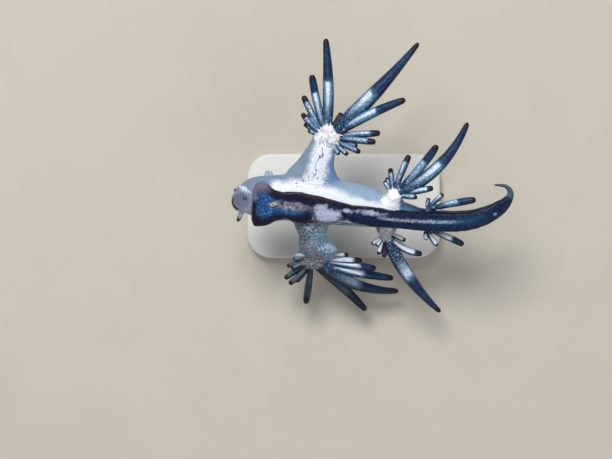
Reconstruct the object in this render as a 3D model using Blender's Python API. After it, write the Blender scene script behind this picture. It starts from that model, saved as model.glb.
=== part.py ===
"""A blue dragon sea slug (Glaucus atlanticus) at life size, floating foot up on a small stand.

The shapes are worked out in millimetres and scaled to metres at the end. The origin is the
centre of the stand's underside. The head points to -X, the tail to +X, the sole of the foot
faces up, and the animal's own left side is at +Y, a little higher than its right side.
"""

import math

import bmesh
import bpy
import numpy as np
from mathutils import Matrix, Vector

MM = 0.001
GAP = 0.3

# Stand
BASE_LENGTH = 24.0
BASE_WIDTH = 13.0
BASE_THICKNESS = 2.0
BASE_CORNER = 3.0
BASE_BEVEL = 0.3
ROD_RADIUS = 0.5
ROD_FRONT_X = -4.6
ROD_REAR_X = 4.4
ROD_SIDES = 16
CORNER_POINTS = 5

# Body: the height of its axis, and stations from snout to tail tip.
# Each station is x, y, z above the axis height, half width, half depth and roll in degrees.
AXIS_HEIGHT = 13.0
BODY_STATIONS = [
    (-13.6, 0.55, 0.00, 0.45, 0.40, 20),
    (-12.9, 0.55, 0.00, 1.35, 1.05, 22),
    (-12.0, 0.75, 0.00, 1.95, 1.50, 25),
    (-10.7, 0.90, 0.00, 2.60, 1.90, 25),
    (-8.9, 0.80, 0.00, 2.85, 2.10, 25),
    (-6.6, 0.90, 0.00, 2.90, 2.15, 25),
    (-4.2, 0.60, 0.00, 3.00, 2.15, 25),
    (-1.2, 0.33, 0.00, 2.84, 2.10, 25),
    (2.4, -0.17, 0.00, 2.55, 1.95, 25),
    (4.8, -0.70, 0.00, 2.16, 1.75, 25),
    (7.2, -1.30, 0.00, 1.60, 1.40, 22),
    (9.6, -1.75, 0.00, 1.32, 1.05, 16),
    (12.6, -1.95, 0.05, 1.30, 0.90, 10),
    (15.0, -1.80, 0.15, 1.22, 0.80, 8),
    (17.2, -1.10, 0.35, 1.08, 0.70, 8),
    (18.9, 0.00, 0.60, 0.80, 0.55, 15),
    (19.75, 1.20, 0.80, 0.38, 0.36, 40),
    (19.20, 2.15, 0.95, 0.33, 0.32, 65),
    (17.90, 2.35, 1.00, 0.26, 0.26, 80),
]
BODY_SIDES = 18
# Where the body is parted, as lengths along its axis
NECK_CUT = 2.75
WAIST_CUT = 14.3
RUMP_CUT = 21.1
TAIL_CUT_1 = 26.2
TAIL_CUT_2 = 30.9
HEAD_RING_STEP = 0.55
RING_STEP = 1.05
TAIL_RING_STEP = 0.62
# The stretch that touches other solids, as lengths from the snout and from the tail tip
CLEARED_START = 0.2
CLEARED_END = 4.0

# Foot: the strip of sole on the body, from the neck to the tail.
# Each station is a length along the body, the half width and the shift to the animal's left.
FOOT_STATIONS = [
    (2.9, 2.85, -0.20),
    (3.1, 3.03, -0.10),
    (3.5, 3.04, 0.04),
    (4.4, 2.75, 0.00),
    (5.3, 2.00, -0.05),
    (6.3, 1.70, -0.15),
    (8.3, 2.00, -0.30),
    (10.3, 1.80, -0.30),
    (12.4, 1.40, -0.28),
    (14.6, 1.20, -0.38),
    (17.5, 1.30, -0.35),
    (21.0, 1.15, -0.05),
]
FOOT_THICKNESS = 0.6
FOOT_BED = 0.8
FOOT_CUT = 12.6
FOOT_RING_STEP = 0.7
# Half of the foot's cross-section, as shares of its half width and its thickness
FOOT_OUTLINE = [(0.9, 0.0), (1.0, 0.45), (0.86, 0.8), (0.45, 1.0)]

# Head
LIP_CENTRE = (-12.62, 0.50, 1.05)
LIP_AXIS = (-0.50, -0.15, 0.85)
LIP_RADIUS = 0.62
LIP_THICKNESS = 0.27
MOUTH_LENGTH = 0.85
MOUTH_WIDTH = 0.26
MOUTH_DEPTH = 0.55
LIP_SEGMENTS = 16
LIP_SIDES = 8
# Feelers: root, tip and the width at the root
ORAL_TENTACLES = {
    "left": ((-12.2, 1.10, -0.50), (-13.3, 1.90, -2.20), 0.75),
    "right": ((-12.3, -0.40, -0.40), (-13.1, -2.05, -1.75), 0.75),
}
RHINOPHORES = {
    "left": ((-9.3, 2.40, -0.60), (-9.3, 4.25, -1.25), 0.80),
    "right": ((-9.3, 0.25, -1.60), (-9.3, -0.55, -3.50), 0.80),
}
FEELER_TIP_WIDTH = 0.6
FEELER_SIDES = 8
FEELER_RINGS = 4

# Arms: stations from inside the body to the hub.
# Each station is x, y, z above the axis height, half width along the body and half depth.
ARMS = {
    "front_left": [
        (-3.9, 1.60, 0.20, 5.60, 1.45),
        (-3.85, 2.60, 0.62, 4.35, 1.40),
        (-3.75, 3.50, 0.97, 3.25, 1.35),
        (-3.4, 4.90, 1.50, 2.25, 1.25),
        (-2.9, 6.30, 1.90, 1.75, 1.15),
        (-2.5, 7.50, 2.10, 1.50, 1.05),
        (-2.2, 8.30, 2.15, 1.40, 0.95),
    ],
    "front_right": [
        (-4.0, -0.30, -0.10, 2.80, 1.45),
        (-4.0, -2.00, -0.90, 2.20, 1.35),
        (-3.9, -3.40, -1.85, 1.72, 1.25),
        (-3.9, -4.30, -2.75, 1.70, 1.10),
        (-3.6, -5.00, -3.65, 2.00, 0.95),
        (-3.3, -5.60, -4.40, 2.35, 0.80),
        (-3.6, -6.40, -5.20, 1.70, 0.75),
    ],
    "rear_left": [
        (5.2, -0.60, 0.20, 2.40, 1.30),
        (5.5, 0.20, 1.00, 1.82, 1.20),
        (5.8, 0.90, 1.80, 1.10, 0.95),
    ],
    "rear_right": [
        (4.9, -1.50, -0.40, 2.00, 1.15),
        (5.0, -2.50, -1.30, 1.40, 1.00),
        (5.0, -3.30, -2.20, 1.00, 0.80),
    ],
}
ARM_SIDES = 14
ARM_RING_STEP = 0.8

# Fans: the hub's centre above the axis height, its half sizes, and its cerata.
# Each ceras is the angle of its root round the hub, its heading in plan, its rise in degrees,
# its length and its sideways bow as a share of the length, positive to its own left.
FANS = {
    "front_left": {
        "centre": (-2.05, 8.15, 2.20),
        "half_sizes": (1.55, 1.45, 0.95),
        "cerata": [
            (172, 150, 0, 1.0, 0.00),
            (156, 128, 12, 2.8, 0.05),
            (138, 115, -2, 4.3, 0.02),
            (120, 101, 14, 6.3, 0.02),
            (94, 91, 4, 10.2, -0.02),
            (68, 55, 22, 1.9, 0.00),
            (36, 47, 8, 14.0, -0.02),
            (18, 26.5, 16, 8.9, 0.03),
            (3, 4, 2, 4.7, 0.00),
            (-14, -5, 14, 4.3, 0.00),
            (-32, -24, -4, 2.8, 0.00),
            (-50, -40, 10, 1.8, 0.00),
        ],
    },
    "front_right": {
        "centre": (-3.75, -6.75, -5.30),
        "half_sizes": (1.60, 1.05, 1.10),
        "cerata": [
            (175, 170, -30, 1.1, 0.00),
            (190, 196, -24, 1.9, 0.00),
            (206, 220, -32, 3.2, 0.00),
            (226, 228, -20, 3.0, 0.05),
            (252, 264, -34, 5.2, 0.00),
            (-74, -40.5, -28, 9.0, 0.02),
            (-46, -18, -24, 10.8, -0.08),
            (-24, -12, -24, 9.4, -0.02),
            (-6, -8, -13, 6.3, 0.00),
            (10, -2, -8, 4.4, 0.00),
            (26, 6, -20, 3.0, 0.00),
            (46, 8, 4, 1.5, 0.00),
        ],
    },
    "rear_left": {
        "centre": (5.85, 1.10, 2.20),
        "half_sizes": (0.95, 0.88, 0.70),
        "cerata": [
            (140, 112, 4, 1.3, 0.00),
            (108, 95, 12, 2.5, 0.00),
            (84, 67, 2, 4.3, 0.02),
            (58, 49, 14, 7.1, -0.03),
            (34, 46, 5, 11.4, -0.10),
            (12, 11, 10, 3.8, 0.00),
            (-8, -3, 22, 1.9, 0.00),
        ],
    },
    "rear_right": {
        "centre": (4.98, -3.45, -2.60),
        "half_sizes": (0.85, 0.95, 0.80),
        "cerata": [
            (-142, -145, -14, 1.3, 0.00),
            (-122, -104, -22, 1.9, 0.00),
            (-100, -90, -36, 2.4, 0.00),
            (-70, -53, -26, 12.2, -0.05),
            (-40, -26, -12, 4.3, -0.10),
            (-18, -44, -44, 3.2, 0.00),
            (4, -30, -4, 1.8, 0.00),
        ],
    },
    "tail_left": {
        "centre": (9.95, -0.55, 0.55),
        "half_sizes": (0.70, 0.55, 0.55),
        "cerata": [
            (118, 66, 10, 1.0, 0.00),
            (72, 41, 4, 2.1, 0.00),
            (20, 11, 12, 5.2, 0.02),
        ],
    },
    "tail_right": {
        "centre": (9.80, -2.95, -0.75),
        "half_sizes": (0.70, 0.55, 0.55),
        "cerata": [
            (-120, -66, -16, 0.9, 0.00),
            (-72, -52, -26, 2.0, 0.00),
            (-18, -23, -16, 4.4, 0.02),
        ],
    },
}
HUB_SEGMENTS = 12
HUB_RINGS = 8
# Ceras: its width, and its widths along it as shares. A short one is a blunt finger, a long
# one is widest a third of the way out and slender beyond the middle.
CERAS_WIDTH = 0.38
CERAS_WIDTH_PER_LENGTH = 0.09
CERAS_LEAST_WIDTH = 0.62
CERAS_LEAST_RADIUS_AT_ROOT = 0.35
CERAS_LEAST_RADIUS_AT_TIP = 0.10
CERAS_PLACES = [0.00, 0.10, 0.22, 0.36, 0.48, 0.58, 0.70, 0.82, 0.92, 1.00]
SHORT_WIDTHS = [0.57, 0.67, 0.79, 0.90, 0.96, 1.00, 1.00, 0.96, 0.86, 0.50]
LONG_WIDTHS = [0.78, 1.02, 1.11, 1.08, 1.00, 0.86, 0.69, 0.54, 0.44, 0.30]
SHORT_LENGTH = 5.0
LONG_LENGTH = 14.0
CERAS_ROOT_DEPTH = 0.55
# How far the pointed end reaches, as a share of the step between two rings
TIP_SHARE = 0.4
# Cerata over this length get more sides and rings
FINE_LENGTH = 5.5
CERAS_SIDES = 6
CERAS_RINGS = 5
FINE_CERAS_SIDES = 8
FINE_CERAS_RINGS = 7
# The largest fan is parted through the gap between its two longest cerata
SPLIT_FAN = "front_left"
SPLIT_HEADING = 75

# Finish: colour, roughness and metallic value of each material
FINISHES = {
    "silver_skin": ((0.62, 0.72, 0.82), 0.32, 0.0),
    "blue_skin": ((0.035, 0.07, 0.20), 0.30, 0.0),
    "cerata_skin": ((0.05, 0.16, 0.32), 0.30, 0.0),
    "stand_white": ((0.80, 0.80, 0.78), 0.45, 0.0),
    "stand_steel": ((0.62, 0.63, 0.65), 0.30, 1.0),
}
SHARP_ANGLE = 40


class Track:
    """A smooth curve through rows of numbers, x, y and z first, read by the length along it."""

    STEPS = 24

    def __init__(self, rows):
        rows = np.array(rows, float)
        ends = np.vstack([2 * rows[0] - rows[1], rows, 2 * rows[-1] - rows[-2]])
        dense = []
        for i in range(len(rows) - 1):
            a, b, c, d = ends[i : i + 4]
            for t in np.arange(self.STEPS) / self.STEPS:
                cubic = 2 * a - 5 * b + 4 * c - d + t * (3 * b - a - 3 * c + d)
                dense.append(b + 0.5 * t * (c - a + t * cubic))
        dense.append(rows[-1])
        self.rows = np.array(dense)
        steps = np.linalg.norm(np.diff(self.rows[:, :3], axis=0), axis=1)
        self.lengths = np.concatenate([[0.0], np.cumsum(steps)])
        self.length = float(self.lengths[-1])

    def read(self, s):
        return [float(np.interp(s, self.lengths, column)) for column in self.rows.T]

    def point(self, s):
        return Vector(self.read(s)[:3])

    def along(self, s, step=0.05):
        ahead = self.point(min(s + step, self.length))
        return (ahead - self.point(max(s - step, 0.0))).normalized()


BODY = Track([(x, y, z + AXIS_HEIGHT, a, b, roll) for x, y, z, a, b, roll in BODY_STATIONS])


def lift(place):
    """A place given above the axis height, as a vector in the model's frame."""
    return Vector(place) + Vector((0, 0, AXIS_HEIGHT))


def spaced(start, end, step):
    """Even lengths from start to end, about step apart."""
    count = max(1, round((end - start) / step))
    return [start + (end - start) * i / count for i in range(count + 1)]


def body_frame(s):
    """The axis point, the direction to the left side and to the sole, and the half sizes."""
    x, y, z, half_width, half_depth, roll = BODY.read(s)
    along = BODY.along(s)
    level_side = Vector((0, 0, 1)).cross(along).normalized()
    level_sole = along.cross(level_side)
    turn = math.radians(roll)
    side = level_side * math.cos(turn) + level_sole * math.sin(turn)
    sole = level_sole * math.cos(turn) - level_side * math.sin(turn)
    return Vector((x, y, z)), side, sole, half_width, half_depth


def loft(rings, tip=None):
    """A closed surface over rings of points, with flat ends or a last tip."""
    bm = bmesh.new()
    rows = [[bm.verts.new(point) for point in ring] for ring in rings]
    count = len(rings[0])
    for lower, upper in zip(rows, rows[1:]):
        for i in range(count):
            j = (i + 1) % count
            bm.faces.new((lower[i], lower[j], upper[j], upper[i]))
    bm.faces.new(rows[0][::-1])
    if tip is None:
        bm.faces.new(rows[-1])
    else:
        end = bm.verts.new(tip)
        for i in range(count):
            bm.faces.new((rows[-1][i], rows[-1][(i + 1) % count], end))
    bmesh.ops.recalc_face_normals(bm, faces=bm.faces)
    return bm


def add_object(name, bm):
    mesh = bpy.data.meshes.new(name)
    bm.to_mesh(mesh)
    bm.free()
    ob = bpy.data.objects.new(name, mesh)
    bpy.context.scene.collection.objects.link(ob)
    return ob


def keep_largest(ob):
    """Leaves only the closed surface of the largest volume."""
    bm = bmesh.new()
    bm.from_mesh(ob.data)
    left = set(bm.faces)
    shells = []
    while left:
        shell = set()
        front = [left.pop()]
        while front:
            face = front.pop()
            shell.add(face)
            for edge in face.edges:
                for other in edge.link_faces if len(edge.link_faces) == 2 else ():
                    if other in left:
                        left.remove(other)
                        front.append(other)
        shells.append(shell)
    if len(shells) > 1:
        shells.sort(key=shell_volume)
        scraps = [face for shell in shells[:-1] for face in shell]
        bmesh.ops.delete(bm, geom=scraps, context="FACES")
        bm.to_mesh(ob.data)
    bm.free()


def shell_volume(faces):
    total = 0.0
    for face in faces:
        first, *rest = [vert.co for vert in face.verts]
        for second, third in zip(rest, rest[1:]):
            total += first.dot(second.cross(third)) / 6
    return abs(total)


def combine(ob, operation, others):
    """Applies one Boolean with a collection of closed objects, which are then removed."""
    group = bpy.data.collections.new("Pieces")
    bpy.context.scene.collection.children.link(group)
    for other in others:
        group.objects.link(other)
    boolean = ob.modifiers.new("Combine", "BOOLEAN")
    boolean.operation = operation
    boolean.operand_type = "COLLECTION"
    boolean.collection = group
    boolean.solver = "EXACT"
    graph = bpy.context.evaluated_depsgraph_get()
    mesh = bpy.data.meshes.new_from_object(ob.evaluated_get(graph))
    ob.modifiers.clear()
    old = ob.data
    ob.data = mesh
    bpy.data.meshes.remove(old)
    for other in others:
        bpy.data.objects.remove(other)
    bpy.data.collections.remove(group)
    keep_largest(ob)
    return ob


def body_ring(s, grow=0.0, foot_bed=False):
    """The body's cross-section, cut level under the foot where the foot is a piece of its own."""
    centre, side, sole, half_width, half_depth = body_frame(s)
    level = half_depth - FOOT_BED if foot_bed else half_depth
    ring = []
    for i in range(BODY_SIDES):
        turn = 2 * math.pi * i / BODY_SIDES
        out = (half_width + grow) * math.cos(turn)
        up = min((half_depth + grow) * math.sin(turn), level + grow)
        ring.append(centre + side * out + sole * up)
    return ring


def body_length(name, start, end, step, grow=0.0, foot_bed=False):
    rings = [body_ring(s, grow, foot_bed) for s in spaced(start, end, step)]
    return add_object(name, loft(rings))


def make_head():
    """The snout with its lips and the line of its mouth."""
    head = body_length("head", 0.0, NECK_CUT - GAP / 2, HEAD_RING_STEP)
    turn = Vector(LIP_AXIS).to_track_quat("Z", "Y").to_matrix().to_4x4()
    place = Matrix.Translation(lift(LIP_CENTRE)) @ turn
    lips = add_object("lips", ring_solid(LIP_RADIUS, LIP_THICKNESS, place))
    combine(head, "UNION", [lips])
    slit = bmesh.new()
    size = Matrix.Diagonal((MOUTH_WIDTH, MOUTH_LENGTH, MOUTH_DEPTH, 1))
    bmesh.ops.create_cube(slit, size=1, matrix=place @ size)
    return combine(head, "DIFFERENCE", [add_object("slit", slit)])


def ring_solid(radius, thickness, place):
    """A closed ring round the Z axis of place."""
    bm = bmesh.new()
    rows = []
    for i in range(LIP_SEGMENTS):
        turn = 2 * math.pi * i / LIP_SEGMENTS
        row = []
        for j in range(LIP_SIDES):
            tilt = 2 * math.pi * j / LIP_SIDES
            reach = radius + thickness * math.cos(tilt)
            point = Vector((reach * math.cos(turn), reach * math.sin(turn), 0))
            point.z = thickness * math.sin(tilt)
            row.append(bm.verts.new(place @ point))
        rows.append(row)
    for i in range(LIP_SEGMENTS):
        this, following = rows[i], rows[(i + 1) % LIP_SEGMENTS]
        for j in range(LIP_SIDES):
            k = (j + 1) % LIP_SIDES
            bm.faces.new((this[j], following[j], following[k], this[k]))
    bmesh.ops.recalc_face_normals(bm, faces=bm.faces)
    return bm


def spindle(root, tip, radius_at, sides, steps, bow=0.0, grow=0.0):
    """A round tapering solid from root to tip, bowed to its left in plan.

    radius_at gives the radius at a share of the way, and grow is added to it all round.
    """
    along = tip - root
    left = Vector((0, 0, 1)).cross(along).normalized()
    middle = (root + tip) / 2 + left * bow * along.length * 2
    rings = []
    for i in range(steps):
        t = i / (steps - 1 + TIP_SHARE)
        point = root * (1 - t) ** 2 + middle * 2 * t * (1 - t) + tip * t * t
        heading = ((middle - root) * (1 - t) + (tip - middle) * t).normalized()
        out = Vector((0, 0, 1)).cross(heading).normalized()
        up = heading.cross(out)
        radius = radius_at(t) + grow
        ring = []
        for k in range(sides):
            turn = 2 * math.pi * (k + 0.5) / sides
            ring.append(point + (out * math.cos(turn) + up * math.sin(turn)) * radius)
        rings.append(ring)
    end = tip + (tip - middle).normalized() * grow
    return loft(rings, end)


def make_foot(name, start, end):
    """A length of the sole: flat below, crowned above, with rounded margins."""
    lengths, widths, shifts = zip(*FOOT_STATIONS)
    outline = [(-x, y) for x, y in FOOT_OUTLINE] + FOOT_OUTLINE[::-1]
    rings = []
    for s in spaced(start, end, FOOT_RING_STEP):
        centre, side, sole, _, half_depth = body_frame(s)
        half_width = float(np.interp(s, lengths, widths))
        shift = float(np.interp(s, lengths, shifts))
        bottom = half_depth - FOOT_BED + GAP
        ring = []
        for x, y in outline:
            height = bottom + FOOT_THICKNESS * y
            ring.append(centre + side * (half_width * x + shift) + sole * height)
        rings.append(ring)
    return add_object(name, loft(rings))


def make_arm(name, stations, cutters):
    """A fleshy arm from the body to its hub, cut clear of both."""
    track = Track([(x, y, z + AXIS_HEIGHT, a, b) for x, y, z, a, b in stations])
    rings = []
    for s in spaced(0.0, track.length, ARM_RING_STEP):
        x, y, z, half_width, half_depth = track.read(s)
        along = track.along(s)
        wide = (Vector((1, 0, 0)) - along * along.x).normalized()
        deep = along.cross(wide)
        ring = []
        for i in range(ARM_SIDES):
            turn = 2 * math.pi * i / ARM_SIDES
            offset = wide * half_width * math.cos(turn) + deep * half_depth * math.sin(turn)
            ring.append(Vector((x, y, z)) + offset)
        rings.append(ring)
    return combine(add_object(name, loft(rings)), "DIFFERENCE", cutters)


def make_hub(name, fan, grow=0.0):
    bm = bmesh.new()
    sizes = [size + grow for size in fan["half_sizes"]]
    place = Matrix.Translation(lift(fan["centre"])) @ Matrix.Diagonal((*sizes, 1))
    bmesh.ops.create_uvsphere(
        bm, u_segments=HUB_SEGMENTS, v_segments=HUB_RINGS, radius=1, matrix=place
    )
    return add_object(name, bm)


def make_ceras(fan, row, grow=0.0):
    root_angle, heading, rise, length, bow = row
    turn = math.radians(root_angle)
    across, along, _ = fan["half_sizes"]
    edge = Vector((across * math.cos(turn), along * math.sin(turn), 0))
    root = lift(fan["centre"]) + edge * CERAS_ROOT_DEPTH
    direction = Vector((1, 0, 0))
    direction.rotate(Matrix.Rotation(math.radians(-rise), 3, "Y"))
    direction.rotate(Matrix.Rotation(math.radians(heading), 3, "Z"))
    tip = lift(fan["centre"]) + edge + direction * length
    width = max(CERAS_LEAST_WIDTH, CERAS_WIDTH + CERAS_WIDTH_PER_LENGTH * length)
    slender = float(np.interp(length, (SHORT_LENGTH, LONG_LENGTH), (0, 1)))
    widths = np.array(SHORT_WIDTHS) * (1 - slender) + np.array(LONG_WIDTHS) * slender

    def radius_at(t):
        least = (1 - t) * CERAS_LEAST_RADIUS_AT_ROOT + t * CERAS_LEAST_RADIUS_AT_TIP
        return max(width / 2 * float(np.interp(t, CERAS_PLACES, widths)), least)

    sides, steps = CERAS_SIDES, CERAS_RINGS
    if length > FINE_LENGTH:
        sides, steps = FINE_CERAS_SIDES, FINE_CERAS_RINGS
    return add_object("ceras", spindle(root, tip, radius_at, sides, steps, bow, grow))


def make_fan(name, fan, grow=0.0):
    """A hub and its cerata, fused. A fan that is grown is a cutter for its neighbours."""
    cerata = [make_ceras(fan, row, grow) for row in fan["cerata"]]
    return combine(make_hub(name, fan, grow), "UNION", cerata)


def body_cutter():
    """The body without its foot, grown by the gap, up to the free end of the tail."""
    end = BODY.length - CLEARED_END
    return body_length("body_cutter", CLEARED_START, end, TAIL_RING_STEP, GAP)


def clip(ob, through, away):
    """Cuts off what lies past a plane, and closes the cut."""
    bm = bmesh.new()
    bm.from_mesh(ob.data)
    geometry = bm.verts[:] + bm.edges[:] + bm.faces[:]
    cut = bmesh.ops.bisect_plane(
        bm, geom=geometry, plane_co=through, plane_no=away, clear_outer=True
    )
    edges = [item for item in cut["geom_cut"] if isinstance(item, bmesh.types.BMEdge)]
    bmesh.ops.holes_fill(bm, edges=edges)
    bmesh.ops.recalc_face_normals(bm, faces=bm.faces)
    bm.to_mesh(ob.data)
    bm.free()
    keep_largest(ob)


def split_fan(ob, fan, names):
    """Parts a fan in two through its hub, along the heading of its widest gap."""
    turn = math.radians(SPLIT_HEADING)
    across = Vector((-math.sin(turn), math.cos(turn), 0))
    other = ob.copy()
    other.data = ob.data.copy()
    bpy.context.scene.collection.objects.link(other)
    for half, name, way in ((ob, names[0], 1), (other, names[1], -1)):
        half.name = name
        clip(half, lift(fan["centre"]) + across * way * GAP / 2, -across * way)


def base_outline(inset):
    """The base's outline with round corners, drawn in by inset."""
    outline = []
    radius = BASE_CORNER - inset
    for corner_x, corner_y, start in ((1, 1, 0), (-1, 1, 90), (-1, -1, 180), (1, -1, 270)):
        for i in range(CORNER_POINTS):
            turn = math.radians(start + 90 * i / (CORNER_POINTS - 1))
            x = corner_x * (BASE_LENGTH / 2 - BASE_CORNER) + radius * math.cos(turn)
            y = corner_y * (BASE_WIDTH / 2 - BASE_CORNER) + radius * math.sin(turn)
            outline.append((x, y))
    return outline


def make_rod(name, x):
    """A rod from just above the base to just below the animal's back."""
    s = float(np.interp(x, BODY.rows[:, 0], BODY.lengths))
    y = BODY.read(s)[1]
    bottom = BASE_THICKNESS + GAP
    height = AXIS_HEIGHT - bottom
    bm = bmesh.new()
    bmesh.ops.create_cone(
        bm,
        cap_ends=True,
        segments=ROD_SIDES,
        radius1=ROD_RADIUS,
        radius2=ROD_RADIUS,
        depth=height,
        matrix=Matrix.Translation((x, y, bottom + height / 2)),
    )
    return combine(add_object(name, bm), "DIFFERENCE", [body_cutter()])


def make_stand():
    """A flat base with two rods under the animal's back."""
    levels = [(0, 0), (BASE_THICKNESS - BASE_BEVEL, 0), (BASE_THICKNESS, BASE_BEVEL)]
    rings = [[Vector((x, y, z)) for x, y in base_outline(inset)] for z, inset in levels]
    add_object("stand_base", loft(rings))
    make_rod("stand_rod_front", ROD_FRONT_X)
    make_rod("stand_rod_rear", ROD_REAR_X)


def paint(ob):
    """Gives the object its own material."""
    finish = "silver_skin"
    if ob.name.startswith(("foot", "tail")):
        finish = "blue_skin"
    if ob.name.startswith("cerata"):
        finish = "cerata_skin"
    if ob.name.startswith("stand"):
        finish = "stand_white" if ob.name == "stand_base" else "stand_steel"
    colour, roughness, metallic = FINISHES[finish]
    material = bpy.data.materials.new(ob.name)
    material.use_nodes = True
    shader = material.node_tree.nodes["Principled BSDF"]
    shader.inputs["Base Color"].default_value = (*colour, 1)
    shader.inputs["Roughness"].default_value = roughness
    shader.inputs["Metallic"].default_value = metallic
    ob.data.materials.clear()
    ob.data.materials.append(material)


def make_feeler(name, place):
    root, tip, width = place

    def radius_at(t):
        return width / 2 * (1 - t + t * FEELER_TIP_WIDTH)

    bm = spindle(lift(root), lift(tip), radius_at, FEELER_SIDES, FEELER_RINGS)
    return combine(add_object(name, bm), "DIFFERENCE", [body_cutter()])


def main():
    for ob in list(bpy.data.objects):
        bpy.data.objects.remove(ob)
    make_head()
    for side in ("left", "right"):
        make_feeler("oral_tentacle_" + side, ORAL_TENTACLES[side])
        make_feeler("rhinophore_" + side, RHINOPHORES[side])
    half = GAP / 2
    body_length("body_front", NECK_CUT + half, WAIST_CUT - half, RING_STEP, foot_bed=True)
    body_length("body_rear", WAIST_CUT + half, RUMP_CUT - half, RING_STEP, foot_bed=True)
    body_length("tail_front", RUMP_CUT + half, TAIL_CUT_1 - half, TAIL_RING_STEP)
    body_length("tail_middle", TAIL_CUT_1 + half, TAIL_CUT_2 - half, TAIL_RING_STEP)
    body_length("tail_tip", TAIL_CUT_2 + half, BODY.length, TAIL_RING_STEP)
    make_foot("foot_front", NECK_CUT + half, FOOT_CUT - half)
    make_foot("foot_rear", FOOT_CUT + half, RUMP_CUT - half)
    for name, stations in ARMS.items():
        cutters = [body_cutter(), make_fan("fan_cutter", FANS[name], GAP)]
        make_arm("arm_" + name, stations, cutters)
    for name, fan in FANS.items():
        ob = make_fan("cerata_" + name, fan)
        combine(ob, "DIFFERENCE", [body_cutter()])
        if name == SPLIT_FAN:
            split_fan(ob, fan, ("cerata_front_left_fore", "cerata_front_left_aft"))
    make_stand()
    for ob in bpy.data.objects:
        paint(ob)
        ob.data.transform(Matrix.Scale(MM, 4))
        ob.data.shade_smooth()
        ob.data.set_sharp_from_angle(angle=math.radians(SHARP_ANGLE))


main()
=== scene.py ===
"""Looks of the blue dragon sea slug: one skin over its solids, its stand, light and camera.

Shapes are worked out in millimetres and scaled to metres at the end. The head points to -X,
the tail to +X, the sole of the foot faces up and the animal's own left side is at +Y.
"""

import math
import random

import bmesh
import bpy
import numpy as np
from mathutils import Matrix, Vector, noise
from mathutils.bvhtree import BVHTree


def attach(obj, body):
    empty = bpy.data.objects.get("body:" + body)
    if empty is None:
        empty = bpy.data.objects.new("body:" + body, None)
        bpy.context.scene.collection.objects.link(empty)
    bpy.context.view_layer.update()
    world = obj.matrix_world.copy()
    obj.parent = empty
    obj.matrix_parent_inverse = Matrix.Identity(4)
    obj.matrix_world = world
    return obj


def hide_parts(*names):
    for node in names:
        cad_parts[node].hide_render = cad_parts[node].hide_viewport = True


MM = 0.001
SEED = 7

# Body stations: x, y, z above the axis height, half width, half depth and roll in degrees
AXIS_HEIGHT = 13.0
BODY_STATIONS = [
    (-13.65, 0.55, 0.0, 1.05, 0.85, 20),
    (-12.9, 0.55, 0.0, 1.38, 1.1, 22),
    (-12.0, 0.75, 0.0, 1.95, 1.5, 25),
    (-10.7, 0.9, 0.0, 2.6, 1.9, 25),
    (-8.9, 0.8, 0.0, 2.85, 2.1, 25),
    (-6.6, 0.9, 0.0, 2.9, 2.15, 25),
    (-4.2, 0.6, 0.0, 3.0, 2.15, 25),
    (-1.2, 0.33, 0.0, 2.84, 2.1, 25),
    (2.4, -0.17, 0.0, 2.55, 1.95, 25),
    (4.8, -0.7, 0.0, 2.16, 1.75, 25),
    (7.2, -1.3, 0.0, 1.6, 1.4, 22),
    (9.6, -1.75, 0.0, 1.32, 1.05, 16),
    (12.6, -1.95, 0.05, 1.3, 0.9, 10),
    (15.0, -1.8, 0.15, 1.22, 0.8, 8),
    (17.2, -1.1, 0.35, 1.08, 0.7, 8),
    (18.9, 0.0, 0.6, 0.8, 0.55, 15),
    (19.75, 1.2, 0.8, 0.38, 0.36, 40),
    (19.25, 2.15, 0.95, 0.25, 0.23, 65),
    (17.75, 2.36, 1.0, 0.12, 0.11, 80),
]
SNOUT_ROUNDING = 0.75
TAIL_ROUNDING = 0.3

# Foot stations: length along the body, half width and shift to the animal's left
FOOT_STATIONS = [
    (2.46, 1.9, -0.26),
    (2.54, 2.3, -0.25),
    (2.72, 2.62, -0.2),
    (3.0, 2.86, -0.12),
    (3.35, 3.0, -0.02),
    (3.7, 3.02, 0.04),
    (4.4, 2.75, 0.0),
    (5.3, 2.0, -0.05),
    (6.3, 1.7, -0.15),
    (8.3, 2.0, -0.3),
    (10.3, 1.8, -0.3),
    (12.4, 1.4, -0.28),
    (14.6, 1.2, -0.38),
    (17.5, 1.3, -0.35),
    (21.0, 1.17, -0.05),
    (26.0, 1.16, 0.0),
    (30.0, 1.05, 0.0),
    (33.0, 0.78, 0.0),
    (34.6, 0.34, 0.0),
    (36.8, 0.1, 0.0),
]
FOOT_THICKNESS = 0.6
FOOT_DEPTH = 0.5
FULL_FOOT_DEPTH = 0.8
FOOT_CROWN = 0.1
FOOT_FURROW = 0.09
FURROW_FADE = (14.0, 20.0)
FURROW_WIDTH = 0.16
FOOT_MARGIN = 0.04
MARGIN_PLACE = 0.82
MARGIN_WIDTH = 0.12
FOOT_SQUARENESS = 0.75
FOOT_SLANT = 0.3
FOOT_SLANT_REACH = 2.2

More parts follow.
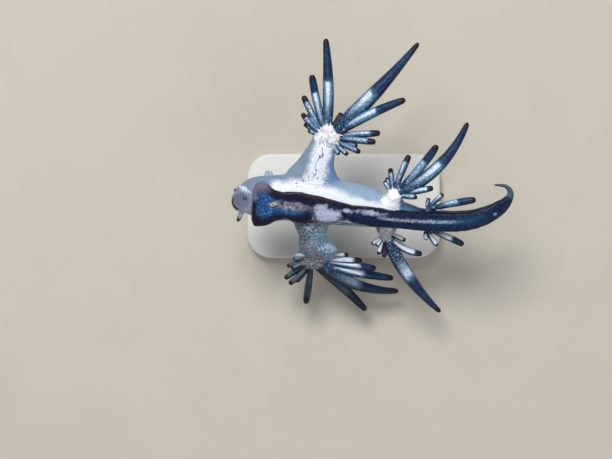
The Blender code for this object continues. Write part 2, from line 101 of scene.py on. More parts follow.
# Arm stations: x, y, z above the axis height, half width along the body and half depth
ARMS = {
    "front_left": [
        (-3.9, 1.6, 0.2, 5.6, 1.45),
        (-3.85, 2.6, 0.62, 4.35, 1.4),
        (-3.75, 3.5, 0.97, 3.25, 1.35),
        (-3.4, 4.9, 1.5, 2.25, 1.25),
        (-2.9, 6.3, 1.9, 1.75, 1.15),
        (-2.5, 7.5, 2.1, 1.5, 1.05),
        (-2.2, 8.3, 2.15, 1.4, 0.95),
    ],
    "front_right": [
        (-4.0, -0.3, -0.1, 2.8, 1.45),
        (-4.0, -2.0, -0.9, 2.2, 1.35),
        (-3.9, -3.4, -1.85, 1.72, 1.25),
        (-3.9, -4.3, -2.75, 1.7, 1.1),
        (-3.6, -5.0, -3.65, 2.0, 0.95),
        (-3.3, -5.6, -4.4, 2.35, 0.8),
        (-3.6, -6.4, -5.2, 1.7, 0.75),
    ],
    "rear_left": [
        (5.2, -0.6, 0.2, 2.4, 1.3),
        (5.5, 0.2, 1.0, 1.82, 1.2),
        (5.8, 0.9, 1.8, 1.1, 0.95),
    ],
    "rear_right": [
        (4.9, -1.5, -0.4, 2.0, 1.15),
        (5.0, -2.5, -1.3, 1.4, 1.0),
        (5.0, -3.3, -2.2, 1.0, 0.8),
    ],
}

# Hubs: centre above the axis height and half sizes
HUBS = {
    "front_left": ((-2.05, 8.15, 2.2), (1.55, 1.45, 0.95)),
    "front_right": ((-3.75, -6.75, -5.3), (1.6, 1.05, 1.1)),
    "rear_left": ((5.85, 1.1, 2.2), (0.95, 0.88, 0.7)),
    "rear_right": ((4.98, -3.45, -2.6), (0.85, 0.95, 0.8)),
    "tail_left": ((9.95, -0.55, 0.55), (0.7, 0.55, 0.55)),
    "tail_right": ((9.8, -2.95, -0.75), (0.7, 0.55, 0.55)),
}

# Cerata of each hub: the root's angle round it, heading in plan, rise in degrees, length and,
# for those that aren't straight, the sideways bow as a share of the length
CERATA = {
    "front_left": [
        (172, 150, 0, 1.0),
        (156, 128, 12, 2.8, 0.05),
        (138, 115, -2, 4.3, 0.02),
        (120, 101, 14, 6.3, 0.02),
        (98, 90.4, 4, 10.2, -0.02),
        (68, 55, 22, 1.9),
        (36, 47, 8, 14.0, -0.02),
        (18, 26.5, 16, 8.9, 0.03),
        (3, 4, 2, 4.7),
        (-14, -5, 14, 4.3),
        (-32, -24, -4, 2.8),
        (-50, -40, 10, 1.8),
    ],
    "front_right": [
        (175, 170, -30, 1.1),
        (190, 196, -24, 1.9),
        (206, 220, -32, 3.2),
        (226, 228, -20, 3.0, 0.05),
        (252, 264, -34, 5.2),
        (-74, -40.5, -28, 9.0, 0.02),
        (-46, -18, -24, 10.8, -0.08),
        (-24, -12, -24, 9.4, -0.02),
        (-6, -8, -13, 6.3),
        (10, -2, -8, 4.4),
        (26, 6, -20, 3.0),
        (46, 8, 4, 1.5),
    ],
    "rear_left": [
        (140, 112, 4, 1.3),
        (108, 95, 12, 2.5),
        (84, 67, 2, 4.3, 0.02),
        (58, 49, 14, 7.1, -0.03),
        (34, 46, 5, 11.4, -0.1),
        (12, 11, 10, 3.8),
        (-8, -3, 22, 1.9),
    ],
    "rear_right": [
        (-142, -145, -14, 1.3),
        (-122, -104, -22, 1.9),
        (-100, -90, -36, 2.4),
        (-70, -53, -26, 12.2, -0.05),
        (-40, -26, -12, 4.3, -0.1),
        (-18, -44, -44, 3.2),
        (4, -30, -4, 1.8),
    ],
    "tail_left": [(118, 66, 10, 1.0), (72, 41, 4, 2.1), (20, 11, 12, 5.2, 0.02)],
    "tail_right": [(-120, -66, -16, 0.9), (-72, -52, -26, 2.0), (-18, -23, -16, 4.4, 0.02)],
}
CERAS_WIDTH = 0.47
CERAS_WIDTH_PER_LENGTH = 0.086
# Widths at places along a short and a long ceras, as shares of its width
CERAS_PLACES = [0.0, 0.1, 0.22, 0.36, 0.48, 0.58, 0.7, 0.82, 0.92, 0.97, 0.99, 1.0]
SHORT_WIDTHS = [0.58, 0.68, 0.79, 0.9, 0.96, 1.0, 1.0, 0.96, 0.87, 0.72, 0.5, 0.14]
LONG_WIDTHS = [0.8, 1.04, 1.13, 1.1, 1.02, 0.88, 0.71, 0.55, 0.43, 0.37, 0.27, 0.08]
SHORT_LENGTH = 5.0
LONG_LENGTH = 14.0
CERAS_ROOT_DEPTH = 0.55
# Where the streak ends, as a share of the ceras, by its length
STREAK_LENGTHS = [3.0, 4.3, 6.5, 9.0, 10.2, 12.0, 14.0]
STREAK_ENDS = [0.86, 0.8, 0.68, 0.61, 0.53, 0.49, 0.45]
# The silver streaks are partly a painted highlight: they lean towards the light, by this many
# degrees and some more by chance
LIGHT_SIDE = (-0.3, 0.95)
STREAK_HIGHLIGHT_LEAN = 22.0
STREAK_LEAN_CHANCE = 8.0
TAIL_STREAK_SHARE = 0.8

# The hubs on the tail: their size against the solids', and the length whose colour they take
TAIL_HUB_SHARE = 0.55
TAIL_HUB_STATION = 22.5

# Where the curl of the tail begins and ends, by the length along the body
CURL_START = 34.5
CURL_END = 36.8

# Small cerata between the listed ones, which the solids leave out
SMALL_CERATA = {
    "front_left": [
        (164, 140, -8, 1.8, 0.02),
        (146, 122, 0, 2.2, 0.03),
        (-23, -16, -6, 2.2),
        (-62, -58, 4, 1.1),
    ],
    "front_right": [(198, 208, -10, 1.4), (240, 232, -44, 3.0), (-58, -28, -40, 4.6)],
    "rear_left": [(124, 104, -6, 1.5), (46, 46, -10, 3.4)],
    "rear_right": [(-132, -124, -6, 1.0)],
}
# How far the cerata of some headings are darkened by painted shade, 1 without a streak, and which
# are plum all over
SHADED_CERATA = {
    "front_right": {
        170: 0.6, 196: 0.8, 208: 0.7, 220: 0.8, 228: 0.8, 232: 1.0, 264: 1.0,
        -40.5: 1.0, -28: 1.0, -18: 0.6,
    },
}
PLUM_CERATA = {"front_left": (55,), "rear_right": (-90,)}
# Hubs that are paler than the arm they end, and how far across a hub its pale cap reaches
PALE_HUBS = ("rear_left", "rear_right")
CAP_SHARES = {"front_right": 0.66}
# Cerata whose streak starts later or earlier than chance would have it, 0 for the earliest
STREAK_CHANCES = {
    "front_left": {150: 1.1, 140: 1.2, 128: 1.0, 122: 1.2, 115: 0.9, 4: 0.7, -5: 0.9},
    "rear_right": {-53: 1.0},
}

# Small pale teeth round the hubs of the arms, between the roots of their cerata
TEETH_PER_RADIAN = 3.2
TOOTH_LENGTH = 0.42
TOOTH_WIDTH = 0.22
TOOTH_PROFILE = [(0.0, 1.0), (0.5, 0.75), (0.85, 0.4), (1.0, 0.08)]

# Feelers, and blunt small cerata on the lower front arm: root, tip, width and how dark the tip is
FEELERS = [
    ((-12.2, 1.1, -0.5), (-13.3, 1.9, -2.2), 0.75, 1.0),
    ((-12.2, -0.4, -0.4), (-12.95, -1.98, -1.75), 0.7, 1.0),
    ((-9.35, 2.4, -0.6), (-9.35, 4.2, -1.25), 0.8, 0.1),
    ((-9.0, 2.4, -0.7), (-8.9, 4.1, -1.3), 0.7, 0.1),
    ((-9.3, 0.25, -1.6), (-9.3, -0.55, -3.5), 0.75, 0.6),
    ((-3.25, -4.95, -2.4), (-2.95, -5.75, -2.8), 0.4, 0.6),
    ((-2.9, -4.9, -2.4), (-2.45, -5.68, -2.75), 0.42, 0.5),
    ((-2.45, -4.95, -2.6), (-1.75, -5.45, -2.8), 0.42, 0.3),
    ((-2.6, -5.5, -3.3), (-1.35, -5.68, -3.1), 0.44, 0.2),
    ((-2.3, -4.85, -2.9), (-0.9, -5.5, -3.7), 0.8, 0.3),
    ((-4.9, -6.0, -4.2), (-6.05, -6.1, -4.1), 0.5, 0.2),
]
FEELER_PROFILE = [(0.0, 1.0), (0.6, 0.86), (0.85, 0.72), (0.95, 0.5), (1.0, 0.1)]

# Mouth: the disc at the snout's end, its lip and the curved line of the mouth
DISC_CENTRE = (-12.44, 0.5)
DISC_RADIUS = 1.0
MOUTH_CENTRE = (-12.0, 0.74)
MOUTH_RADIUS = 0.17
MOUTH_TOP = 0.34
HEAD_END = -10.8
# The plum crescent on the snout: its middle and reach in degrees round the disc, how it
# rises to the left and how far it shrinks up at its ends
CRESCENT_ANGLE = 188
CRESCENT_REACH = 66
CRESCENT_SLOPE = 0.4
CRESCENT_TAPER = 0.6
# The snout's pale painted highlight and the dark specks on the flank: place in plan and half sizes
SNOUT_HIGHLIGHT = (-12.08, 1.92, 0.8, 0.32)
SNOUT_HIGHLIGHT_SLOPE = -0.5
SPECKS = (-4.0, 2.75, 2.9, 1.2)

# How wide the white band beside the sole is, by the place along the body
WHITE_BAND_PLACES = [-8.0, -4.0, -0.5, 2.4, 4.5]
WHITE_BAND_WIDTHS = [1.5, 2.4, 2.0, 1.05, 0.9]

# Tints below the rear left hub, on the lower front arm and the snout: place in plan and radius
TINTS = {
    "white_tint": (5.05, 0.3, 0.85),
    "chin_tint": (-12.0, -0.9, 1.0),
    "dark_tint": (-4.8, -4.1, 0.6),
    "mauve_tint": (-4.1, -5.0, 0.95),
    "blue_tint": (-2.8, -4.75, 1.25),
}

# Spots on the sole: length along the body, place across, half length and half width
SOLE_SPOTS = {
    "corner": (3.3, -0.85, 1.7, 0.5),
    "glitter": (4.1, 0.02, 1.75, 0.72),
    "glitter_behind": (6.6, -0.1, 3.4, 0.72),
    "veil": (3.6, 0.92, 1.3, 0.42),
    "strip": (7.2, 0.1, 3.3, 0.46),
    "cream": (5.15, 0.13, 0.5, 0.13),
}
TAIL_DOT = (32.0, -0.25, 0.3, 0.26)
# Lavender spots, painted reflections of light on the wet sole, which have a weight as well
SOLE_REFLECTIONS = [
    (11.9, -0.42, 1.75, 0.8, 1.15),
    (11.0, 0.16, 1.05, 0.42, 1.0),
    (14.0, 0.34, 0.8, 0.3, 0.9),
    (16.9, 0.44, 2.2, 0.32, 0.85),
    (14.0, -0.95, 1.1, 0.24, 1.3),
]

# Skin
TRUNK_VOXEL = 0.14
FILLET_ROUNDS = 90
VOXEL = 0.05
LOFT_STEP = 0.12
BODY_SIDES = 72
LIMB_SIDES = 48
HUB_RINGS = 24
CHANNELS = ["ceras", "reach", "upside", "chance", "streak_end", "ceras_shade", "plummy", "sole",
            "station", "across", "dorsal", "arm", "outward", "aside", "right", "hub", "feeler"]

# Stand
BASE_LENGTH = 24.0
BASE_WIDTH = 13.0
BASE_THICKNESS = 2.0
BASE_CORNER = 3.0
BASE_BEVEL = 0.35
BASE_FOOT = 0.12
ROD_RADIUS = 0.5
ROD_TOP = AXIS_HEIGHT - 1.2
RODS = {"front": -4.6, "rear": 4.4}
COLLAR_RADIUS = 1.0
COLLAR_HEIGHT = 0.42

# View: the photo's middle in the model's frame and the width that it shows
VIEW_CENTRE = (-4.68, -2.94)
VIEW_WIDTH = 73.44
LENS = 150.0
SENSOR = 36.0


class Track:
    """A smooth curve through rows of numbers, x, y and z first, read by the length along it."""

    STEPS = 24

    def __init__(self, rows):
        rows = np.array(rows, float)
        ends = np.vstack([2 * rows[0] - rows[1], rows, 2 * rows[-1] - rows[-2]])
        dense = []
        for i in range(len(rows) - 1):
            a, b, c, d = ends[i : i + 4]
            for t in np.arange(self.STEPS) / self.STEPS:
                cubic = 2 * a - 5 * b + 4 * c - d + t * (3 * b - a - 3 * c + d)
                dense.append(b + 0.5 * t * (c - a + t * cubic))
        dense.append(rows[-1])
        self.rows = np.array(dense)
        steps = np.linalg.norm(np.diff(self.rows[:, :3], axis=0), axis=1)
        self.lengths = np.concatenate([[0.0], np.cumsum(steps)])
        self.length = float(self.lengths[-1])

    def read(self, s):
        return [float(np.interp(s, self.lengths, column)) for column in self.rows.T]

    def point(self, s):
        return Vector(self.read(s)[:3])

    def along(self, s, step=0.05):
        ahead = self.point(min(s + step, self.length))
        return (ahead - self.point(max(s - step, 0.0))).normalized()


BODY = Track([(x, y, z + AXIS_HEIGHT, a, b, roll) for x, y, z, a, b, roll in BODY_STATIONS])


def lift(place):
    """A place given above the axis height, as a vector in the model's frame."""
    return Vector(place) + Vector((0, 0, AXIS_HEIGHT))


def spaced(start, end, step):
    count = max(1, round((end - start) / step))
    return np.linspace(start, end, count + 1)


def rounding(distance, reach):
    """How far a rounded end has opened at a distance from its tip, from 0 to 1."""
    share = min(max(distance / reach, 0.0), 1.0)
    return math.sqrt(1 - (1 - share) ** 2)


def circle(sides):
    """The angle, cosine and sine of each of some even turns."""
    turns = [2 * math.pi * i / sides for i in range(sides)]
    return [(turn, math.cos(turn), math.sin(turn)) for turn in turns]


def body_frame(s):
    """The axis point, the direction to the left side and to the sole, and the half sizes."""
    x, y, z, half_width, half_depth, roll = BODY.read(s)
    along = BODY.along(s)
    level_side = Vector((0, 0, 1)).cross(along).normalized()
    level_sole = along.cross(level_side)
    turn = math.radians(roll)
    side = level_side * math.cos(turn) + level_sole * math.sin(turn)
    sole = level_sole * math.cos(turn) - level_side * math.sin(turn)
    return Vector((x, y, z)), side, sole, half_width, half_depth


class Source:
    """Closed surfaces gathered as one mesh, with a value of each channel at each point."""

    def __init__(self):
        self.points = []
        self.faces = []
        self.values = []

    def add(self, rings):
        """A tube over rings of points, each with its row of channel values, closed at both ends."""
        first = len(self.points)
        sides = len(rings[0])
        for ring in rings:
            for point, values in ring:
                self.points.append(point)
                self.values.append(values)
        for r in range(len(rings) - 1):
            for i in range(sides):
                a = first + r * sides + i
                b = first + r * sides + (i + 1) % sides
                self.faces.append((a, b, b + sides, a + sides))
        last = first + (len(rings) - 1) * sides
        self.faces.append(tuple(first + i for i in reversed(range(sides))))
        self.faces.append(tuple(last + i for i in range(sides)))


def channel(**named):
    """One row of channel values: those named, and 0 for the rest."""
    return [named.get(name, 0.0) for name in CHANNELS]


def add_body(source):
    rings = []
    for s in spaced(0.02, BODY.length - 0.02, LOFT_STEP):
        centre, side, sole, half_width, half_depth = body_frame(s)
        size = min(rounding(s, SNOUT_ROUNDING), rounding(BODY.length - s, TAIL_ROUNDING))
        ring = []
        for _, out, up in circle(BODY_SIDES):
            place = centre + side * (half_width * size * out) + sole * (half_depth * size * up)
            ring.append((place, channel(station=s, across=out, dorsal=up)))
        rings.append(ring)
    source.add(rings)


def add_foot(source):
    """The sole as a thin plate on the body, with soft margins and a slight crown."""
    lengths, widths, shifts = zip(*FOOT_STATIONS)
    start = lengths[0]
    end = BODY.length - 0.05
    rings = []
    for s in spaced(start, end, LOFT_STEP):
        centre, side, sole, _, half_depth = body_frame(s)
        open_share = min(rounding(s - start + 0.02, 0.5), rounding(end - s + 0.02, 0.4))
        width = float(np.interp(s, lengths, widths)) * (0.9 + 0.1 * open_share)
        shift = float(np.interp(s, lengths, shifts))
        size = min(1.0, half_depth / FULL_FOOT_DEPTH)
        middle = half_depth - size * (FOOT_DEPTH - FOOT_THICKNESS / 2)
        thick = size * FOOT_THICKNESS / 2 * (0.35 + 0.65 * open_share)
        slant = FOOT_SLANT * (1 - float(smooth_step(s, start, start + FOOT_SLANT_REACH)))
        furrow = FOOT_FURROW * (1 - float(smooth_step(s, *FURROW_FADE)))
        along = BODY.along(s)
        ring = []
        for _, out, up in circle(LIMB_SIDES):
            x = math.copysign(abs(out) ** FOOT_SQUARENESS, out)
            y = math.copysign(abs(up) ** FOOT_SQUARENESS, up)
            crown = FOOT_CROWN * (1 - x * x) - furrow * math.exp(-((x / FURROW_WIDTH) ** 2))
            crown += FOOT_MARGIN * math.exp(-(((abs(x) - MARGIN_PLACE) / MARGIN_WIDTH) ** 2))
            height = middle + thick * y + (size * crown if y > 0 else 0.0)
            place = centre + along * slant * x + sole * height + side * (width * x + shift)
            ring.append((place, channel(sole=1.0, station=s, across=x, dorsal=1.0)))
        rings.append(ring)
    source.add(rings)


def add_arm(source, name, stations):
    track = Track([(x, y, z + AXIS_HEIGHT, a, b) for x, y, z, a, b in stations])
    named = {"arm": 1.0, "right": float(name.endswith("right"))}
    rings = []
    for s in spaced(0.0, track.length, LOFT_STEP):
        x, y, z, half_width, half_depth = track.read(s)
        along = track.along(s)
        wide = (Vector((1, 0, 0)) - along * along.x).normalized()
        deep = along.cross(wide)
        if deep.z < 0:
            deep = -deep
        named["outward"] = s / track.length
        ring = []
        for _, out, up in circle(LIMB_SIDES):
            place = Vector((x, y, z)) + wide * half_width * out + deep * half_depth * up
            ring.append((place, channel(aside=half_width * out, dorsal=up, **named)))
        rings.append(ring)
    if track.along(0).y < 0:
        rings = [ring[::-1] for ring in rings]
    source.add(rings)


def add_hub(source, name):
    centre, half_sizes = HUBS[name]
    named = {"hub": 1.0, "arm": 1.0, "outward": 1.0, "right": float(name.endswith("right"))}
    if name.startswith("tail"):
        half_sizes = [size * TAIL_HUB_SHARE for size in half_sizes]
        named = {"station": TAIL_HUB_STATION}
    across, along, deep = half_sizes
    rings = []
    for j in range(1, HUB_RINGS):
        tilt = math.pi * j / HUB_RINGS
        wide = math.sin(tilt)
        low = math.cos(tilt)
        ring = []
        for _, x, y in circle(LIMB_SIDES):
            place = lift(centre) + Vector((across * wide * x, along * wide * y, -deep * low))
            ring.append((place, channel(dorsal=-low, **named)))
        rings.append(ring)
    source.add(rings)


def add_spindle(source, root, tip, width, profile, bow, named, sides=20, lean=0.0):
    """A round tapering form from root to tip, bowed to its left in plan."""
    along = tip - root
    left = Vector((0, 0, 1)).cross(along).normalized()
    middle = (root + tip) / 2 + left * bow * along.length * 2
    places, widths = zip(*profile)
    rings = []
    for t in np.sin(spaced(0, math.pi / 2, 1 / (12 + 8 * along.length))):
        point = root * (1 - t) ** 2 + middle * 2 * t * (1 - t) + tip * t * t
        heading = ((middle - root) * (1 - t) + (tip - middle) * t).normalized()
        side = Vector((0, 0, 1)).cross(heading).normalized()
        top = heading.cross(side)
        radius = width / 2 * float(np.interp(t, places, widths))
        ring = []
        for turn, out, up in circle(sides):
            values = channel(reach=t, upside=math.sin(turn + lean), **named)
            ring.append((point + (side * out + top * up) * radius, values))
        rings.append(ring)
    source.add(rings)


def add_ceras(source, name, row, draw):
    centre, (across, along, _) = HUBS[name]
    root_angle, heading, rise, length, bow = (*row, 0.0)[:5]
    turn = math.radians(root_angle)
    edge = Vector((across * math.cos(turn), along * math.sin(turn), 0))
    root = lift(centre) + edge * CERAS_ROOT_DEPTH
    direction = Vector((1, 0, 0))
    direction.rotate(Matrix.Rotation(math.radians(-rise), 3, "Y"))
    direction.rotate(Matrix.Rotation(math.radians(heading), 3, "Z"))
    tip = lift(centre) + edge + direction * length
    width = CERAS_WIDTH + CERAS_WIDTH_PER_LENGTH * length
    long_share = float(smooth_step(length, SHORT_LENGTH, LONG_LENGTH))
    widths = np.array(SHORT_WIDTHS) * (1 - long_share) + np.array(LONG_WIDTHS) * long_share
    named = {
        "ceras": 1.0,
        "chance": STREAK_CHANCES.get(name, {}).get(heading, draw.random()),
        "streak_end": float(np.interp(length, STREAK_LENGTHS, STREAK_ENDS)),
        "ceras_shade": SHADED_CERATA.get(name, {}).get(heading, 0.0),
        "plummy": float(heading in PLUM_CERATA.get(name, ())),
        "right": float(name.endswith("right")),
    }
    if name.startswith("tail") and length > 3:
        named["streak_end"] *= TAIL_STREAK_SHARE
    plan = math.radians(heading)
    # Painted highlight: the streak leans round the ceras towards the light
    lit = LIGHT_SIDE[1] * math.cos(plan) - LIGHT_SIDE[0] * math.sin(plan)
    lean = math.radians(STREAK_HIGHLIGHT_LEAN * lit + STREAK_LEAN_CHANCE * draw.uniform(-1, 1))
    add_spindle(source, root, tip, width, zip(CERAS_PLACES, widths), bow, named, 20, lean)


def add_teeth(source, name, draw):
    """Short pale points round the hub, over the part that carries the cerata."""
    centre, (across, along, deep) = HUBS[name]
    angles = [row[0] for row in CERATA[name]]
    span = math.radians(max(angles) - min(angles))
    for _ in range(round(TEETH_PER_RADIAN * span)):
        turn = math.radians(draw.uniform(min(angles), max(angles)))
        out = Vector((math.cos(turn), math.sin(turn), 0))
        height = deep * draw.uniform(0.35, 0.6)
        edge = Vector((across * out.x, along * out.y, 0)) * draw.uniform(0.72, 0.86)
        root = lift(centre) + edge + Vector((0, 0, height))
        tip = root + (out + Vector((0, 0, 0.35))) * TOOTH_LENGTH * draw.uniform(0.7, 1.3)
        add_spindle(source, root, tip, TOOTH_WIDTH, TOOTH_PROFILE, 0.0, {"hub": 1.0}, 10)


def gather_trunk():
    """The body, the arms and their hubs as overlapping closed forms."""
    source = Source()
    add_body(source)
    for name, stations in ARMS.items():
        add_arm(source, name, stations)
    for name in HUBS:
        add_hub(source, name)
    return source


def gather_limbs():
    """The foot, cerata and feelers as overlapping closed forms."""
    draw = random.Random(SEED)
    source = Source()
    add_foot(source)
    for name, rows in CERATA.items():
        for row in rows + SMALL_CERATA.get(name, []):
            add_ceras(source, name, row, draw)
        if not name.startswith("tail"):
            add_teeth(source, name, draw)
    for root, tip, width, dark in FEELERS:
        named = {"feeler": 1.0, "chance": dark}
        add_spindle(source, lift(root), lift(tip), width, FEELER_PROFILE, 0.0, named)
    return source


def mesh_object(name, points, faces):
    mesh = bpy.data.meshes.new(name)
    mesh.from_pydata([tuple(point) for point in points], [], faces)
    mesh.update()
    ob = bpy.data.objects.new(name, mesh)
    bpy.context.scene.collection.objects.link(ob)
    return ob


def remesh(ob, voxel):
    """Fuses the overlapping forms into one even surface."""
    modifier = ob.modifiers.new("Fuse", "REMESH")
    modifier.mode = "VOXEL"
    modifier.voxel_size = voxel
    graph = bpy.context.evaluated_depsgraph_get()
    mesh = bpy.data.meshes.new_from_object(ob.evaluated_get(graph))
    ob.modifiers.clear()
    old = ob.data
    ob.data = mesh
    bpy.data.meshes.remove(old)


def read_rows(items, name, width, kind=float):
    """One named value of each point or edge of a mesh, as rows of numbers."""
    rows = np.empty(len(items) * width, kind)
    items.foreach_get(name, rows)
    return rows.reshape(-1, width)


def write_points(mesh, points):
    mesh.vertices.foreach_set("co", points.astype(np.float32).ravel())
    mesh.update()


def neighbour_mean(values, edges):
    """The mean of each point's neighbours, for values of one or more columns."""
    count = len(values)
    a, b = edges.T
    neighbours = np.bincount(a, minlength=count) + np.bincount(b, minlength=count)
    columns = values.reshape(count, -1)
    means = np.empty_like(columns)
    for i, column in enumerate(columns.T):
        total = np.bincount(a, column[b], count) + np.bincount(b, column[a], count)
        means[:, i] = total / np.maximum(neighbours, 1)
    return means.reshape(values.shape)


def relax(points, edges, weight, rounds):
    """Moves each point towards the mean of its neighbours, by weight from 0 to 1."""
    weight = np.broadcast_to(weight, len(points))[:, None]
    for _ in range(rounds):
        points = points + (neighbour_mean(points, edges) - points) * weight
    return points


def transfer(sources, points):
    """Each channel at each point, from the nearest place on the gathered forms."""
    corners = np.array(sum((source.points for source in sources), []))
    values = np.array(sum((source.values for source in sources), []))
    faces = []
    first = 0
    for source in sources:
        faces += [tuple(first + i for i in face) for face in source.faces]
        first += len(source.points)
    tree = BVHTree.FromPolygons([tuple(point) for point in corners], faces)
    found = np.empty((len(points), 4), np.int64)
    for i, point in enumerate(points):
        found[i] = faces[tree.find_nearest(point)[2]][:4]
    gap = np.linalg.norm(corners[found] - points[:, None, :], axis=2)
    share = 1 / (gap**2 + 1e-6)
    share /= share.sum(axis=1, keepdims=True)
    read = (values[found] * share[:, :, None]).sum(axis=1)
    return {name: read[:, i] for i, name in enumerate(CHANNELS)}


def reach_of(x, y, spot):
    """How far places lie from the middle of an oval, which is 1 at its edge."""
    return np.hypot((x - spot[0]) / spot[2], (y - spot[1]) / spot[3])


def blob(x, y, spot):
    """A soft oval spot: 1 inside, 0 outside."""
    return np.clip(1.6 - 1.4 * reach_of(x, y, spot), 0, 1)


def smooth_step(values, low, high):
    share = np.clip((values - low) / (high - low), 0, 1)
    return share * share * (3 - 2 * share)


def ripple(points, size, octaves=2):
    """Even noise of about -1 to 1 at each point, of features about size across."""
    read = [noise.fractal(Vector(p) / size, 1.0, 2.0, octaves) for p in points]
    return np.array(read)


def beyond_sole(points):
    """How far each point lies beyond the edge of the sole, and whether on the left side."""
    rising = BODY.rows[: int(np.argmax(BODY.rows[:, 0])), 0]
    stations = np.interp(points[:, 0], rising, BODY.lengths[: len(rising)])
    table = np.array([[*body_frame(s)[0], *body_frame(s)[1]] for s in BODY.lengths])
    rows = table[np.searchsorted(BODY.lengths, stations).clip(0, len(table) - 1)]
    offset = ((points - rows[:, :3]) * rows[:, 3:]).sum(axis=1)
    lengths, widths, shifts = zip(*FOOT_STATIONS)
    offset = offset - np.interp(stations, lengths, shifts)
    return np.abs(offset) - np.interp(stations, lengths, widths), offset > 0


def bell(values, width):
    """A soft ridge: 1 where the values are 0, falling off over the width."""
    return np.exp(-((values / width) ** 2))


def paint_sole(found, wobble, fine):
    """The masks of the markings on the sole, and of the painted reflections on it."""
    s = found["station"]
    v = found["across"]
    s_soft = s + 0.3 * wobble
    v_soft = v + 0.1 * wobble
    slim = 0.24 * smooth_step(s, 14.0, 21.0)
    left_rim = smooth_step(v_soft - slim, 0.56, 0.72)
    right_rim = smooth_step(-v_soft - 0.7 * slim, 0.66, 0.8)
    front = 1 - smooth_step(s_soft, 2.95, 3.35)
    high = smooth_step(v_soft, 0.05, 0.4)
    spots = {name: blob(s_soft, v_soft, spot) for name, spot in SOLE_SPOTS.items()}
    rims = np.maximum.reduce([left_rim, right_rim, spots["corner"], front * (1 - high)])
    # Painted reflections of light on the wet sole
    painted_reflection = [full * bell(reach_of(s_soft, v_soft, spot), 1) for *spot, full in SOLE_REFLECTIONS]
    streak = bell(v + 0.08 * wobble + 0.05 * fine - 0.08, 0.28)
    masks = {
        "plum": rims,
        "glitter": np.maximum(spots["glitter"], 0.62 * spots["glitter_behind"]),
        "veil": np.maximum(spots["veil"], front * high),
        "painted_reflection": np.maximum.reduce(painted_reflection),
        "strip": spots["strip"],
        "cream": spots["cream"],
        "dot": blob(s, v, TAIL_DOT),
        "streak": streak * smooth_step(s, 16.5, 19.0) * (1 - smooth_step(s, 25.5, 31.0)),
        "teal": bell(v - 0.05, 0.28) * smooth_step(s, 22.0, 26.0) * (1 - smooth_step(s, 29.0, 32.0)),
    }
    for name, mask in masks.items():
        found[name] = found["sole"] * mask


def paint_hubs(points, found, fine):
    """The caps of the hubs, and which of them are pale."""
    free = (1 - found["sole"]) * (1 - found["ceras"])
    found["pale"] = np.zeros(len(points))
    for name, (centre, (across, along, deep)) in HUBS.items():
        x, y, z = lift(centre)
        spot = (x, y, 1.06 * across, 1.1 * along * CAP_SHARES.get(name, 1.0))
        reach = reach_of(points[:, 0], points[:, 1], spot)
        cap = 1 - smooth_step(reach + 0.06 * fine, 0.9, 1.06)
        cap = cap * smooth_step(points[:, 2], z - 0.6 * deep, z - 0.1 * deep)
        if not name.startswith("tail"):
            found["hub"] = np.maximum(found["hub"], cap * free)
        if name in PALE_HUBS:
            found["pale"] = np.maximum(found["pale"], cap)


def paint_flank(points, found, wobble, fine):
    """The masks of the markings on the head, body and arms."""
    x, y, _ = points.T
    outward = found["outward"]
    skin = 1 - found["sole"]
    beyond, left = beyond_sole(points)
    broad = np.interp(x, WHITE_BAND_PLACES, WHITE_BAND_WIDTHS)
    flank = (1 - smooth_step((beyond + 0.15 * wobble + 0.08 * fine) / broad, 0.1, 1.0)) * left
    aside = np.abs(found["aside"] - 0.15) / (2.0 - outward.clip(0, 1))
    stripe = 1 - smooth_step(aside + 0.2 * wobble + 0.15 * fine, 0.1, 1.35)
    # The white band and the arms' stripe are silver skin, kept to faces turned up to the light,
    # where they are partly a painted highlight
    up = smooth_step(found["dorsal"], -0.1, 0.5)
    past_neck = smooth_step(x + 0.2 * wobble, -9.6, -7.8)
    found["rump"] = smooth_step(x + 0.1 * wobble, 6.3, 7.0)
    white = np.maximum(flank * past_neck, found["arm"] * stripe) * up * (1 - found["rump"])
    found["white"] = np.clip(white + found["hub"], 0, 1)
    # The right side, below the sole, is marked for painted shade
    found["right"] = np.maximum(found["right"], 1.0 - left) * skin
    found["head"] = 1 - smooth_step(x + 0.2 * wobble, HEAD_END - 0.6, HEAD_END)
    found["speck"] = 1 - smooth_step(reach_of(x, y, SPECKS) + 0.3 * wobble, 0.5, 1.1)
    # Painted highlight on the wet snout
    level = y - SNOUT_HIGHLIGHT_SLOPE * (x - SNOUT_HIGHLIGHT[0])
    found["snout_highlight"] = 1 - smooth_step(reach_of(x, level, SNOUT_HIGHLIGHT) + 0.4 * fine, 0.4, 1.25)
    for name, (tint_x, tint_y, radius) in TINTS.items():
        reach = reach_of(x, y, (tint_x, tint_y, radius, radius))
        found[name] = bell((reach + 0.25 * fine).clip(0), 1) * skin
    line = np.abs(found["aside"] / 1.7 + 0.05 + 0.3 * wobble + 0.05 * fine)
    crack = (1 - smooth_step(line, 0.02, 0.06)) * (found["dorsal"] > 0.2) * (1 - found["right"])
    stretch = smooth_step(outward, 0.25, 0.4) * (1 - smooth_step(outward, 0.93, 1.0))
    found["line"] = found["arm"] * crack * stretch * (x < 1.0)


